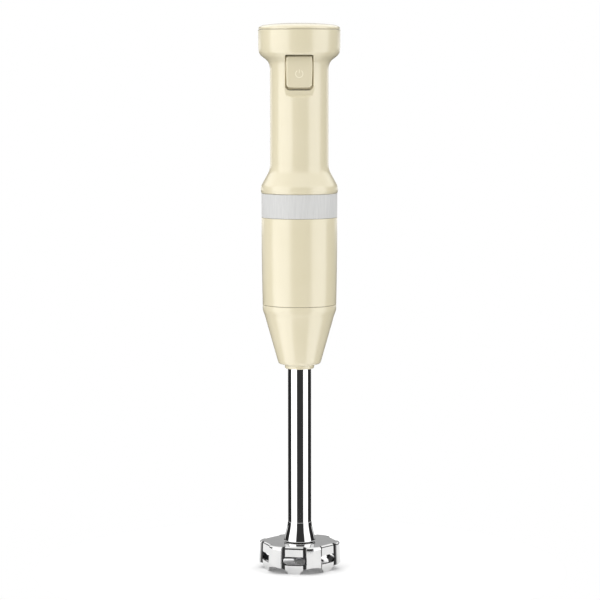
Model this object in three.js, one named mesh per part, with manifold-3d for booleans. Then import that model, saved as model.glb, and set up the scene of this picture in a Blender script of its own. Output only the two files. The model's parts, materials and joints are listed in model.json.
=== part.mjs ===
// Corded immersion blender with a twist-off blending arm.
// Millimetres, +Z up. The origin is on the long axis, in the plane of the bell's feet.
// The front of the handle, with the lock button, faces -Y; the speed trigger faces +Y.
import * as THREE from "three";
import { mergeVertices } from "three/addons/utils/BufferGeometryUtils.js";
import Module from "manifold-3d";

const wasm = await Module();
wasm.setup();

// ---- driving dimensions ----
const gap = 0.3; // between pieces that touch on the real object
const bodySides = 36; // facets round the big turned pieces
const smallSides = 16;
const tubeSides = 24;
const shaftSides = 16; // a shaft turns freely inside a bush of the same facets

// bell and blade
const bellHeight = 20.7;
const bellApothem = 27.5; // axis to a flat panel
const bellLobeRadius = 31.2; // axis to the crown of a corner lobe
const bellShoulderRadius = 30.6; // where a lobe meets its groove
const bellWall = 1.6;
const bellRoof = 1.8;
const bellWidest = 7; // height of the widest section
const bellTurn = -9; // azimuth of the first panel, degrees from the front
const panelHalfAngle = 14.9;
const lobeHalfAngle = 10;
const windowLow = 7;
const windowHigh = 13.3;
const windowWidth = 17;
const archHeight = 5.3;
const archHalfWidth = 11.1;
const hubRadius = 7.2;
const hubLow = 11.5;
const bushBore = 3.1;
const shaftRadius = 3;
const bladeLow = 7.3;
const bladeThickness = 1.5;
const bladeReach = 18.5;
const bladeWidth = 6;

// blending arm
const tubeRadius = 8.7;
const tubeWall = 1.2;
const tubeTop = 176;
const ferruleTop = 35.8;
const collarLow = 152.3;
const collarTop = 200.5;
const collarRadius = 27.6;
const neckRadius = 19; // bayonet neck of the collar insert
const neckTop = 203;
const lugRadius = 21.9;
const lugAngle = 24;
const ledgeAngle = 28;
const lugLow = 199.6;
const lugHigh = 202.2;

// motor body
const sleeveLow = 201;
const sleeveTop = 266.1;
const bandRadius = 28.4;
const sleeveBore = 25.8;
const bandTop = 284.2;
const spigotRadius = 27.2;
const lipLow = 284.5;
const handleRadius = 21.9;
const handleBore = 19.7;
const headRadius = 30.7;
const headBore = 28.3;
const headTop = 405.7;
const capLow = 406;
const capRadius = 30.5;
const totalHeight = 411;

// motor
const canLow = 216;
const canTop = 258;
const canRadius = 21;
const canWall = 1.2;
const motorShaftRadius = 2.5;
const motorBore = 2.8;
const coreRadius = 15.5;
const coreLow = 226;
const coreTop = 248;
const coreSlots = 10;
const fanLow = 208;
const fanBlades = 9;

// controls
const holeHalfWidth = 10.6;
const holeLow = 361;
const holeHigh = 387.2;
const buttonHalfWidth = 9.5;
const buttonLow = 363;
const buttonHigh = 386.2;
const triggerPivot = { y: 14, z: 361 };
const triggerHalfWidth = 8.6;
const plungerHeight = 330;
const inletHeight = 396.4;
const cordBore = 3.6;

// ---- colours ----
const cream = { color: 0xede5cb, roughness: 0.3, metalness: 0 };
const polishedSteel = { color: 0xd8d8d8, roughness: 0.1, metalness: 1 };
const brushedSteel = { color: 0xc9c9c9, roughness: 0.35, metalness: 1 };
const plainSteel = { color: 0xa8a8a8, roughness: 0.4, metalness: 1 };
const darkPlastic = { color: 0x2b2b2d, roughness: 0.55, metalness: 0 };
const greyPlastic = { color: 0x8d8f92, roughness: 0.5, metalness: 0 };
const whiteNylon = { color: 0xe8e6df, roughness: 0.5, metalness: 0 };
const rubber = { color: 0x1d1d1e, roughness: 0.8, metalness: 0 };
const bronze = { color: 0xa5793f, roughness: 0.4, metalness: 1 };
const copper = { color: 0xb4602f, roughness: 0.4, metalness: 1 };
const aluminium = { color: 0xb9bcc0, roughness: 0.4, metalness: 1 };
const ferrite = { color: 0x3a3938, roughness: 0.8, metalness: 0 };
const laminate = { color: 0x2f6b3d, roughness: 0.5, metalness: 0 };
const redWire = { color: 0xa3262a, roughness: 0.5, metalness: 0 };
const blueWire = { color: 0x2c4d8f, roughness: 0.5, metalness: 0 };

// ---- making and joining solids ----
const radians = (degrees) => (degrees * Math.PI) / 180;

function toSolid(geometry) {
  const bare = geometry.clone();
  bare.deleteAttribute("normal");
  bare.deleteAttribute("uv");
  const merged = mergeVertices(bare, 1e-4);
  const triVerts = new Uint32Array(merged.index.array);
  const build = () =>
    new wasm.Manifold(
      new wasm.Mesh({
        numProp: 3,
        vertProperties: merged.attributes.position.array,
        triVerts,
      }),
    );
  const made = build();
  if (made.volume() > 0) return made;
  for (let i = 0; i < triVerts.length; i += 3) {
    [triVerts[i + 1], triVerts[i + 2]] = [triVerts[i + 2], triVerts[i + 1]];
  }
  return build();
}

function toGeometry(solid) {
  const mesh = solid.getMesh();
  const points = new Float32Array(mesh.numVert * 3);
  for (let i = 0; i < mesh.numVert; i++) {
    const start = i * mesh.numProp;
    points.set(mesh.vertProperties.subarray(start, start + 3), i * 3);
  }
  const geometry = new THREE.BufferGeometry();
  geometry.setAttribute("position", new THREE.BufferAttribute(points, 3));
  geometry.setIndex(new THREE.BufferAttribute(mesh.triVerts, 1));
  const flat = geometry.toNonIndexed();
  flat.computeVertexNormals();
  return flat;
}

const join = (...solids) => solids.reduce((all, next) => all.add(next));
const cut = (solid, ...tools) => tools.reduce((left, tool) => left.subtract(tool), solid);

// A profile of [radius, height] points turned about Z. An open one starts and ends on the axis.
function turned(profile, sides = bodySides) {
  const points = profile.map(([r, z]) => new THREE.Vector2(r, z));
  if (profile[0][0] > 0) points.push(points[0].clone());
  const geometry = new THREE.LatheGeometry(points, sides);
  return toSolid(geometry.rotateX(Math.PI / 2));
}

function ring(outer, inner, low, high, sides = smallSides) {
  return turned([[inner, low], [outer, low], [outer, high], [inner, high]], sides);
}

function disc(radius, low, high, sides = smallSides) {
  return turned([[0, low], [radius, low], [radius, high], [0, high]], sides);
}

function block([x0, x1], [y0, y1], [z0, z1]) {
  const geometry = new THREE.BoxGeometry(x1 - x0, y1 - y0, z1 - z0);
  return toSolid(geometry.translate((x0 + x1) / 2, (y0 + y1) / 2, (z0 + z1) / 2));
}

// A rod along Y at the height z.
function rodY(radius, x, z, y0, y1, sides = smallSides) {
  const geometry = new THREE.CylinderGeometry(radius, radius, y1 - y0, sides);
  return toSolid(geometry.translate(x, (y0 + y1) / 2, z));
}

function rodX(radius, y, z, x0, x1, sides = smallSides) {
  const geometry = new THREE.CylinderGeometry(radius, radius, x1 - x0, sides);
  return toSolid(geometry.rotateZ(Math.PI / 2).translate((x0 + x1) / 2, y, z));
}

// An outline of [x, y] points raised along Z.
function raised(outline, low, high, steps = 1) {
  const shape = new THREE.Shape(outline.map(([x, y]) => new THREE.Vector2(x, y)));
  const settings = { depth: high - low, bevelEnabled: false, steps };
  return new THREE.ExtrudeGeometry(shape, settings).translate(0, 0, low);
}

// A side outline of [y, z] points, made as wide as x0 to x1.
function sideways(outline, x0, x1) {
  const geometry = raised(outline, x0, x1);
  const turn = new THREE.Matrix4().set(0, 0, 1, 0, 1, 0, 0, 0, 0, 1, 0, 0, 0, 0, 0, 1);
  return toSolid(geometry.applyMatrix4(turn));
}

// An outline of [across, up] points pushed outwards from the axis, at an azimuth from the front.
function outwards(outline, from, to, azimuth) {
  const geometry = raised(outline, from, to);
  geometry.rotateX(Math.PI / 2);
  geometry.rotateZ(radians(azimuth));
  return toSolid(geometry);
}

const rectangle = (x, y) => [[-x, -y], [x, -y], [x, y], [-x, y]];

// ---- the node list ----
const blender = new THREE.Group();
blender.name = "immersion_blender";

function addNode(name, solid, finish) {
  const mesh = new THREE.Mesh(toGeometry(solid), new THREE.MeshStandardMaterial(finish));
  mesh.name = name;
  blender.add(mesh);
}

// ---- blending arm: bell ----
// The bell is a rounded hexagon: six flat panels, six corner lobes, a groove either side of each.
function bellOutline(inset) {
  const points = [];
  const panelEdge = bellApothem / Math.cos(radians(panelHalfAngle));
  const add = (degrees, radius) => {
    const angle = radians(degrees);
    points.push([(radius - inset) * Math.sin(angle), -(radius - inset) * Math.cos(angle)]);
  };
  for (let side = 0; side < 6; side++) {
    const middle = bellTurn + side * 60;
    add(middle - panelHalfAngle, panelEdge);
    add(middle + panelHalfAngle, panelEdge);
    for (const [offset, radius] of [
      [-lobeHalfAngle, bellShoulderRadius],
      [-lobeHalfAngle / 2, (bellShoulderRadius + 3 * bellLobeRadius) / 4],
      [0, bellLobeRadius],
      [lobeHalfAngle / 2, (bellShoulderRadius + 3 * bellLobeRadius) / 4],
      [lobeHalfAngle, bellShoulderRadius],
    ]) {
      add(middle + 30 + offset, radius);
    }
  }
  return points;
}

// The bell's walls lean in a little above and below the widest section.
function bellLean(z) {
  const above = Math.max(z - bellWidest, 0) / (bellHeight - bellWidest);
  const below = Math.max(bellWidest - z, 0) / bellWidest;
  return 1 - 0.018 * above - 0.03 * below ** 2;
}

function bellForm(inset, low, high) {
  const geometry = raised(bellOutline(inset), low, high, 5);
  const place = geometry.attributes.position;
  for (let i = 0; i < place.count; i++) {
    const lean = bellLean(Math.min(Math.max(place.getZ(i), 0), bellHeight));
    place.setXY(i, place.getX(i) * lean, place.getY(i) * lean);
  }
  return toSolid(geometry);
}

function bellWindow(azimuth) {
  const half = windowWidth / 2;
  const middle = (windowLow + windowHigh) / 2;
  const outline = [
    [-half, middle], [-half + 2.6, windowLow], [half - 2.6, windowLow],
    [half, middle], [half - 2.6, windowHigh], [-half + 2.6, windowHigh],
  ];
  return outwards(outline, 20, 35, azimuth);
}

function bellArch(azimuth) {
  const outline = [[archHalfWidth, -1], [-archHalfWidth, -1]];
  for (let i = 0; i <= 8; i++) {
    const angle = Math.PI - (i * Math.PI) / 8;
    outline.push([archHalfWidth * Math.cos(angle), archHeight * Math.sin(angle)]);
  }
  return outwards(outline, 18, 36, azimuth);
}

function bellGuard() {
  let bell = cut(bellForm(0, 0, bellHeight), bellForm(bellWall, -1, bellHeight - bellRoof));
  for (let side = 0; side < 6; side++) {
    bell = cut(bell, bellWindow(bellTurn + side * 60), bellArch(bellTurn + 30 + side * 60));
  }
  bell = join(bell, disc(hubRadius, hubLow, 32, shaftSides));
  return cut(bell, disc(5 + gap, hubLow - 1, 33, shaftSides));
}

addNode("bell_guard", bellGuard(), polishedSteel);
addNode(
  "neck_ferrule",
  turned(
    [
      [8.8, 21], [11.6, 21], [11.95, 21.6], [11.7, 23], [10.7, 27], [10.2, 28.5], [9.8, 30],
      [9.3, 32.5], [9.05, 34.5], [9.05, ferruleTop], [8.8, ferruleTop],
    ],
    tubeSides,
  ),
  polishedSteel,
);
addNode("arm_tube", ring(tubeRadius, tubeRadius - tubeWall, 21, tubeTop, tubeSides), polishedSteel);
addNode("lower_bush", ring(5, bushBore, 13, 31.5, shaftSides), bronze);
addNode("shaft_seal", ring(5, bushBore, hubLow, 12.7, shaftSides), rubber);
addNode("upper_bush", ring(hubRadius, bushBore, 160, 171, shaftSides), bronze);

// ---- blending arm: collar ----
addNode(
  "arm_collar",
  turned([
    [8.8, collarLow], [10.2, collarLow], [11.1, 153.4], [11.1, 154.8], [15.2, 156.1],
    [16, 156.7], [16.3, 157.8], [26, 192.2], [27, 194.8], [collarRadius, 196.6],
    [collarRadius, collarTop], [25.6, collarTop], [25.6, 195.6], [23.6, 191.4],
    [14.4, 158.8], [8.8, 157.6],
  ]),
  cream,
);

function sector(outer, inner, low, high, middle, angle) {
  const points = [];
  const steps = 4;
  const add = (radius, degrees) => {
    points.push([radius * Math.sin(radians(degrees)), -radius * Math.cos(radians(degrees))]);
  };
  for (let i = 0; i <= steps; i++) add(outer, middle - angle / 2 + (angle * i) / steps);
  for (let i = steps; i >= 0; i--) add(inner, middle - angle / 2 + (angle * i) / steps);
  return toSolid(raised(points, low, high));
}

function collarInsert() {
  let insert = turned([
    [8.8, 159], [10.8, 159], [10.8, 178], [neckRadius, 178], [neckRadius, neckTop],
    [neckRadius - 2, neckTop], [neckRadius - 2, 180], [8.8, 180],
  ]);
  for (const middle of [0, 120, 240]) {
    insert = join(insert, sector(lugRadius, neckRadius - 1, lugLow, lugHigh, middle, lugAngle));
  }
  return insert;
}

addNode("collar_insert", collarInsert(), darkPlastic);

// ---- blade drive ----
addNode("drive_shaft", disc(shaftRadius, 5, 183.5, shaftSides), plainSteel);

function driveSocket() {
  const body = disc(hubRadius, 176.6, 194, smallSides);
  const hexagon = disc(5.1, 185, 195, 6);
  return cut(body, disc(shaftRadius + gap, 176, 184, shaftSides), hexagon);
}

addNode("drive_socket", driveSocket(), whiteNylon);

// Four wings from one plate: one pair bent down at the tips, the other pair bent up.
function bladeWing(azimuth, tipRise) {
  const bend = bladeReach - 7;
  const top = bladeLow + bladeThickness;
  const outline = [
    [0, bladeLow], [bend, bladeLow], [bladeReach, bladeLow + tipRise],
    [bladeReach, top + tipRise], [bend, top], [0, top],
  ];
  const wing = raised(outline, -bladeWidth / 2, bladeWidth / 2);
  return toSolid(wing.rotateX(Math.PI / 2).rotateZ(radians(azimuth)));
}

function blade() {
  const wings = [0, 90, 180, 270].map((turn) => bladeWing(turn, turn % 180 ? 3 : -3));
  const plate = join(...wings, disc(5.4, bladeLow, bladeLow + bladeThickness, shaftSides));
  return cut(plate, disc(shaftRadius + gap, 0, 20, shaftSides));
}

addNode("blade", blade(), brushedSteel);
addNode(
  "blade_nut",
  turned(
    [[0, 2.8], [3.2, 2.8], [4.6, 3.8], [4.6, 7], [3.3, 7], [3.3, 4.7], [0, 4.7]],
    shaftSides,
  ),
  brushedSteel,
);
addNode("blade_spacer", ring(4.6, 3.3, 9.1, 11.2, shaftSides), plainSteel);

function retainingClip() {
  const clip = ring(5.4, 3.3, 171.4, 172.4, shaftSides);
  return cut(clip, block([-1.8, 1.8], [0, 8], [170, 174]));
}

addNode("retaining_clip", retainingClip(), plainSteel);

// ---- motor body: lower housing ----
function motorSleeve() {
  let sleeve = turned([
    [sleeveBore, sleeveLow], [collarRadius, sleeveLow], [28, 226], [bandRadius, 251],
    [bandRadius, sleeveTop], [sleeveBore, sleeveTop],
  ]);
  for (const azimuth of [132, 148, 164, 180, 196, 212, 228]) {
    const slot = rectangle(1, 4.5).map(([x, y]) => [x, y + 211.5]);
    sleeve = cut(sleeve, outwards(slot, 22, 32, azimuth));
  }
  return sleeve;
}

addNode("motor_sleeve", motorSleeve(), cream);
addNode(
  "trim_band",
  ring(bandRadius, spigotRadius + gap, sleeveTop + gap, bandTop, bodySides),
  brushedSteel,
);

function bayonetSocket() {
  let socket = turned([
    [9, 204], [22.4, 204], [22.4, 196.5], [25, 196.5], [25, 206.5], [9, 206.5],
  ]);
  for (const middle of [0, 120, 240]) {
    socket = join(socket, sector(23, neckRadius + 0.6, 196.5, 199.2, middle, ledgeAngle));
  }
  return socket;
}

addNode("bayonet_socket", bayonetSocket(), darkPlastic);
addNode("motor_seal", ring(8.7, 3, 204.2, 206.3, shaftSides), rubber);

// ---- motor body: handle and head ----
const shellOutside = [
  [spigotRadius, 267.5], [spigotRadius, lipLow], [28.7, lipLow], [29, 286.9], [28.6, 289.9],
  [22.8, 300.4], [handleRadius, 304.5], [handleRadius, 378.5], [22.8, 381.5], [23.8, 383],
  [27.8, 386], [29.5, 387.5], [30.3, 389.5], [headRadius, 394], [headRadius, headTop],
];
const shellInside = [
  [headBore, headTop], [headBore, 392.5], [26.6, 388.9], [20.6, 383.4], [handleBore, 380],
  [handleBore, 303], [25.2, 288.5], [25.2, 267.5],
];

const screwPlaces = [
  { name: "shell_screw_left", x: -22.5, z: 395 },
  { name: "shell_screw_right", x: 22.5, z: 395 },
];
const screwHeadFace = 14.6; // the screw head's seat, measured back from the joint plane
const screwTip = -9;

// Each half has a boss that meets the other at the joint plane. The screw goes in from the rear.
function screwBoss({ x, z }, y0, y1) {
  return rodY(4.2, x, z, y0, y1, smallSides).intersect(turned([
    [0, 380], [headBore + 0.5, 392.4], [headBore + 0.5, headTop - 1], [0, headTop - 1],
  ]));
}

function buttonRamp() {
  const outline = [
    [-19, holeLow + 0.1], [-19.6, 357.4], [-22.4, 355.4], [-24, 355.4], [-24, holeLow + 0.1],
  ];
  return sideways(outline, -12, 12);
}

function frontShell() {
  const half = block([-40, 40], [-40, -gap / 2], [260, 410]);
  let shell = turned([...shellOutside, ...shellInside]).intersect(half);
  for (const place of screwPlaces) {
    shell = join(shell, screwBoss(place, -20, -gap / 2));
    shell = cut(shell, rodY(1.7, place.x, place.z, screwTip - 2, 1, smallSides));
  }
  const hole = block([-holeHalfWidth, holeHalfWidth], [-35, -8], [holeLow, holeHigh]);
  return cut(shell, hole, buttonRamp());
}

function rearShell() {
  const half = block([-40, 40], [gap / 2, 40], [260, 410]);
  let shell = turned([...shellOutside, ...shellInside]).intersect(half);
  for (const place of screwPlaces) {
    shell = join(shell, screwBoss(place, gap / 2, 20));
    shell = cut(shell, rodY(1.9, place.x, place.z, -1, 35, smallSides));
    shell = cut(shell, rodY(3.4, place.x, place.z, screwHeadFace, 35, smallSides));
  }
  for (const x of [-9.5, 9.5]) {
    shell = join(shell, rodY(2.6, x, inletHeight, 17, 28, smallSides)); // posts of the cord clamp
  }
  for (const side of [-1, 1]) {
    const across = [Math.min(side * 9.9, side * 12), Math.max(side * 9.9, side * 12)];
    const ear = block(across, [11, 17.5], [triggerPivot.z - 3.2, triggerPivot.z + 3.2]);
    const socket = rodX(1.8, triggerPivot.y, triggerPivot.z, -13, 13);
    shell = join(shell, cut(ear, socket)); // ears that hold the trigger's pin
  }
  const triggerHole = [[-9.6, 9.6], [10, 35], [301.2, 359.2]];
  shell = cut(shell, block(...triggerHole), rodY(5.8, 0, inletHeight, 20, 40, smallSides));
  for (const azimuth of [126, 138, 150, 162, 198, 210, 222, 234]) {
    const slot = rectangle(1, 3.2).map(([x, y]) => [x, y + 294.5]);
    shell = cut(shell, outwards(slot, 18, 36, azimuth));
  }
  return shell;
}

addNode("handle_front_shell", frontShell(), cream);
addNode("handle_rear_shell", rearShell(), cream);
for (const { name, x, z } of screwPlaces) {
  const head = rodY(3, x, z, screwHeadFace + gap, screwHeadFace + 2.6, smallSides);
  addNode(name, join(head, rodY(1.3, x, z, screwTip, screwHeadFace + 1, smallSides)), plainSteel);
}
addNode(
  "top_cap",
  turned([
    [0, 408.4], [20, 407.9], [25.9, 406.5], [25.9, 403.5], [27.9, 403.5], [27.9, capLow],
    [capRadius, capLow], [capRadius, 407.2], [28.9, 408.6], [20.6, 410.1], [0, totalHeight],
  ]),
  cream,
);

function cordInlet() {
  const sleeve = join(
    rodY(5.4, 0, inletHeight, 24, 30, smallSides),
    rodY(6.6, 0, inletHeight, 23.6, 26, smallSides),
  );
  return cut(sleeve, rodY(cordBore, 0, inletHeight, 20, 34, smallSides));
}

function cordClamp() {
  const bar = block([-12.5, 12.5], [13.4, 16.7], [392.5, 399.5]);
  const saddle = rodY(3.4, 0, inletHeight, 10, 20, smallSides);
  const holes = [-9.5, 9.5].map((x) => rodY(1.2, x, inletHeight, 10, 20, smallSides));
  return cut(bar, saddle, ...holes);
}

addNode("cord_inlet", cordInlet(), rubber);
addNode("cord_clamp", cordClamp(), greyPlastic);

// ---- motor body: controls ----
// The button's face is flat and tilts forward towards the head. A skirt behind it closes the gap.
function lockButton() {
  const faceLow = -19.9;
  const faceHigh = -24;
  const outline = [
    [-17, buttonLow], [faceLow, buttonLow], [faceHigh, buttonHigh], [-20.5, buttonHigh], [-17, 376],
  ];
  const cap = sideways(outline, -buttonHalfWidth, buttonHalfWidth);
  const skirtOutline = [[-16.7, 363], [-20.8, 387], [-19.8, 387], [-15.7, 363]];
  const skirt = sideways(skirtOutline, -holeHalfWidth + 0.15, holeHalfWidth - 0.15);
  return join(cap, skirt, block([-3, 3], [-17.5, -10.6], [371, 379]));
}

function speedTrigger() {
  const outline = [
    [22, 357.6], [23.4, 350], [25.2, 332], [25.4, 318], [24.4, 307], [22.6, 302.6],
    [18.6, 302.6], [18.2, 354], [16.4, 357.6],
  ];
  const paddle = sideways(outline, -triggerHalfWidth, triggerHalfWidth);
  const arm = sideways([[19, 350], [21, 357.6], [16.6, 361], [11.4, 361], [11.4, 359]], -4, 4);
  const eye = rodX(2.9, triggerPivot.y, triggerPivot.z, -4, 4);
  const foot = rodY(2.6, 0, plungerHeight, 15.6, 20, smallSides);
  const bore = rodX(1.6, triggerPivot.y, triggerPivot.z, -12, 12);
  return cut(join(paddle, arm, eye, foot), bore);
}

addNode("lock_button", lockButton(), cream);
addNode("speed_trigger", speedTrigger(), cream);
addNode("trigger_pin", rodX(1.5, triggerPivot.y, triggerPivot.z, -11.6, 11.6), plainSteel);
addNode(
  "trigger_spring",
  cut(
    rodX(2.7, triggerPivot.y, triggerPivot.z, 4.5, 9),
    rodX(1.8, triggerPivot.y, triggerPivot.z, 4, 10),
  ),
  plainSteel,
);
addNode("speed_plunger", rodY(1.5, 0, plungerHeight, 6.2, 15.2, smallSides), whiteNylon);

function speedSwitch() {
  const body = block([-6, 6], [gap, 9.6], [318, 342]);
  return cut(body, rodY(1.6, 0, plungerHeight, 3.4, 12, smallSides));
}

addNode("speed_switch", speedSwitch(), darkPlastic);
addNode("lock_switch", block([-5, 5], [-8.2, -1.9], [367.5, 380]), darkPlastic);

// ---- motor body: chassis and board ----
function chassis() {
  const base = ring(24.8, 15, 268.5, 271, bodySides);
  const rails = [-1, 1].map((side) =>
    block([Math.min(side * 14.2, side * 16.8), Math.max(side * 14.2, side * 16.8)],
      [-2.4, 2.4], [270, 383]),
  );
  const shelf = block([-15, 15], [-1.6, 1], [366, 382]);
  return join(base, ...rails, shelf);
}

function heatSink() {
  let sink = block([-12.5, 12.5], [-9, -6.8], [324, 350]);
  for (let i = 0; i < 6; i++) {
    const x = -11.6 + i * 4.4;
    sink = join(sink, block([x, x + 1.2], [-14, -8.5], [324, 350]));
  }
  return sink;
}

addNode("chassis", chassis(), greyPlastic);
addNode("control_board", block([-13.8, 13.8], [-1.6, 0], [292, 354]), laminate);
addNode("capacitor", disc(5.2, 295, 318, smallSides).translate(-7.5, -7.4, 0), blueWire);
addNode(
  "choke_coil",
  cut(rodY(6, 7, 302, -9, -1.9, smallSides), rodY(2.4, 7, 302, -10, 0, smallSides)),
  copper,
);
addNode("power_transistor", block([-5, 5], [-6.5, -1.9], [330, 344]), darkPlastic);
addNode("heat_sink", heatSink(), aluminium);

function lead(side) {
  const route = new THREE.CatmullRomCurve3([
    new THREE.Vector3(side * 5, side * 12, 267),
    new THREE.Vector3(side * 5, side * 12, 275),
    new THREE.Vector3(side * 6.5, 6, 284),
    new THREE.Vector3(side * 7, 2.4, 294),
    new THREE.Vector3(side * 7, 2.2, 302),
  ]);
  const section = [];
  for (let i = 0; i < 6; i++) {
    const angle = (i * Math.PI) / 3;
    section.push(new THREE.Vector2(1.1 * Math.cos(angle), 1.1 * Math.sin(angle)));
  }
  const shape = new THREE.Shape(section);
  return toSolid(new THREE.ExtrudeGeometry(shape, { steps: 10, extrudePath: route }));
}

addNode("motor_lead_red", lead(-1), redWire);
addNode("motor_lead_blue", lead(1), blueWire);

// ---- motor: fixed pieces ----
function motorCan() {
  let can = turned([
    [5, canLow], [canRadius, canLow], [canRadius, canTop], [canRadius - canWall, canTop],
    [canRadius - canWall, canLow + 1.5], [5, canLow + 1.5],
  ]);
  for (const azimuth of [90, 270]) {
    can = cut(can, outwards(rectangle(3, 4).map(([x, y]) => [x, y + 224]), 15, 25, azimuth));
  }
  return can;
}

function motorEndBell() {
  return turned([
    [5, 263], [19.6, 263], [19.6, canTop + gap], [canRadius, canTop + gap],
    [canRadius, 266], [5, 266],
  ]);
}

function magnet(middle) {
  const points = [];
  for (let i = 0; i <= 8; i++) {
    const angle = radians(middle - 62 + i * 15.5);
    points.push([19.4 * Math.cos(angle), 19.4 * Math.sin(angle)]);
  }
  for (let i = 8; i >= 0; i--) {
    const angle = radians(middle - 62 + i * 15.5);
    points.push([16.1 * Math.cos(angle), 16.1 * Math.sin(angle)]);
  }
  return toSolid(raised(points, 222, 252));
}

addNode("motor_can", motorCan(), plainSteel);
addNode("motor_end_bell", motorEndBell(), darkPlastic);
addNode("magnet_left", magnet(180), ferrite);
addNode("magnet_right", magnet(0), ferrite);
addNode("lower_bearing", ring(4.7, 2.6, 215.2, 219.4, shaftSides), plainSteel);
addNode("upper_bearing", ring(4.7, 2.6, 262.6, 266.4, shaftSides), plainSteel);
addNode("motor_mount_lower", ring(25.4, canRadius + gap, 218, 223, bodySides), rubber);
addNode("motor_mount_upper", ring(25.4, canRadius + gap, 249, 254, bodySides), rubber);

// The two brushes bear on the commutator from the front and the rear.
const brushHeight = 258.2;
for (const [place, side] of [["front", -1], ["rear", 1]]) {
  const along = (a, b) => [Math.min(side * a, side * b), Math.max(side * a, side * b)];
  const level = (half) => [brushHeight - half, brushHeight + half];
  const tube = cut(
    block([-3.8, 3.8], along(8.5, 19), level(3.3)),
    block([-2.6, 2.6], along(7, 17.8), level(2.4)),
  );
  addNode("brush_holder_" + place, tube, bronze);
  addNode("brush_" + place, block([-2.3, 2.3], along(6.4, 13), level(2.1)), ferrite);
  const [y0, y1] = along(13.3, 17.5);
  addNode("brush_spring_" + place, rodY(1.8, 0, brushHeight, y0, y1, 12), plainSteel);
}

// ---- rotor ----
function armatureCore() {
  const outline = [];
  const slotHalf = 3.4; // degrees at the rim
  for (let i = 0; i < coreSlots; i++) {
    const middle = (i * 360) / coreSlots;
    for (const [degrees, radius] of [
      [-slotHalf, coreRadius], [-slotHalf * 1.25, 12], [slotHalf * 1.25, 12],
      [slotHalf, coreRadius],
    ]) {
      const angle = radians(middle + degrees);
      outline.push([radius * Math.cos(angle), radius * Math.sin(angle)]);
    }
  }
  const core = toSolid(raised(outline, coreLow, coreTop));
  return cut(core, disc(motorBore, coreLow - 1, coreTop + 1, shaftSides));
}

function armatureWindings() {
  const rings = [[220, coreLow - gap], [coreTop + gap, 253]].map(([low, high]) =>
    turned([
      [5, low], [11.5, low], [13.8, low + 1.6], [14.4, (low + high) / 2], [13.8, high - 1.6],
      [11.5, high], [5, high],
    ], shaftSides),
  );
  let windings = rings[0];
  for (let i = 0; i < coreSlots; i++) {
    const bar = raised(rectangle(0.85, 0.45), 225, 249).translate(13, 0, 0);
    windings = join(windings, toSolid(bar.rotateZ((i * 2 * Math.PI) / coreSlots)));
  }
  return join(windings, rings[1]);
}

function coolingFan() {
  let fan = join(
    ring(5.5, motorBore, fanLow, 214, smallSides),
    ring(20, motorBore, fanLow, fanLow + 1, bodySides),
  );
  for (let i = 0; i < fanBlades; i++) {
    const vane = raised([[5, -0.6], [20, 2.4], [20, 3.4], [5, 0.6]], fanLow + 0.5, 214);
    fan = join(fan, toSolid(vane.rotateZ((i * 2 * Math.PI) / fanBlades)));
  }
  return fan;
}

function driveDog() {
  return cut(disc(4.6, 186.5, 202.5, 6), disc(motorBore, 190, 204, shaftSides));
}

addNode("motor_shaft", disc(motorShaftRadius, 190.3, 267.6, shaftSides), plainSteel);
addNode("armature_core", armatureCore(), plainSteel);
addNode("armature_windings", armatureWindings(), copper);
addNode("commutator", ring(6, motorBore, 254, 262, shaftSides), copper);
addNode("cooling_fan", coolingFan(), whiteNylon);
addNode("drive_dog", driveDog(), plainSteel);

export default blender;
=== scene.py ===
import json
import math

import bmesh
import bpy
from mathutils import Matrix, Vector


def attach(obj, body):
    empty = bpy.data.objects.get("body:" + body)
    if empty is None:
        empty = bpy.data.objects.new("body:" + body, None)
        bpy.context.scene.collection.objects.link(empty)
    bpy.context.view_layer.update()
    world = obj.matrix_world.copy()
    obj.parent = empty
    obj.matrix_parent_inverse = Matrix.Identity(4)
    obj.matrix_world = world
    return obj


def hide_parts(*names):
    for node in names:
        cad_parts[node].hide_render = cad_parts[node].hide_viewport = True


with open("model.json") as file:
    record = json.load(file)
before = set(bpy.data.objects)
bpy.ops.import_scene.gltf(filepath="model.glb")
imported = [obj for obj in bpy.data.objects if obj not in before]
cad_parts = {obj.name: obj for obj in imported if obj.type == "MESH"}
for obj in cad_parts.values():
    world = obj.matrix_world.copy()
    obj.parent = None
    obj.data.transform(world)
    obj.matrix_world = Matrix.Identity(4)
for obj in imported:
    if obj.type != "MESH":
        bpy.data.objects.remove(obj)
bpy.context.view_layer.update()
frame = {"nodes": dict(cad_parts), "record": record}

mm = 0.001  # lengths below are written in millimetres
weld = 0.002 * mm  # vertices closer than this become one
fullTurn = math.tau


def toLinear(hexColour):
    channels = [int(hexColour[i:i + 2], 16) / 255 for i in (0, 2, 4)]
    return [c / 12.92 if c <= 0.04045 else ((c + 0.055) / 1.055) ** 2.4 for c in channels] + [1]


def addNode(tree, kind, settings=None, links=None):
    # a setting is the stops of a ramp, a property of the node, or else the value of an input
    made = tree.nodes.new("ShaderNode" + kind)
    for name, value in (settings or {}).items():
        if name == "stops":
            elements = made.color_ramp.elements
            while len(elements) < len(value):
                elements.new(0.5)
            for element, (position, colour) in zip(elements, value):
                element.position = position
                element.color = colour
        elif isinstance(name, str) and hasattr(made, name):
            setattr(made, name, value)
        else:
            made.inputs[name].default_value = value
    for name, source in (links or {}).items():
        tree.links.new(source, made.inputs[name])
    return made


def newMaterial(name, settings):
    made = bpy.data.materials.new(name)
    made.use_nodes = True
    tree = made.node_tree
    shader = tree.nodes["Principled BSDF"]
    for socket, value in settings.items():
        shader.inputs[socket].default_value = value
    place = addNode(tree, "TexCoord").outputs["Object"]
    return made, tree, shader, place


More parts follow.
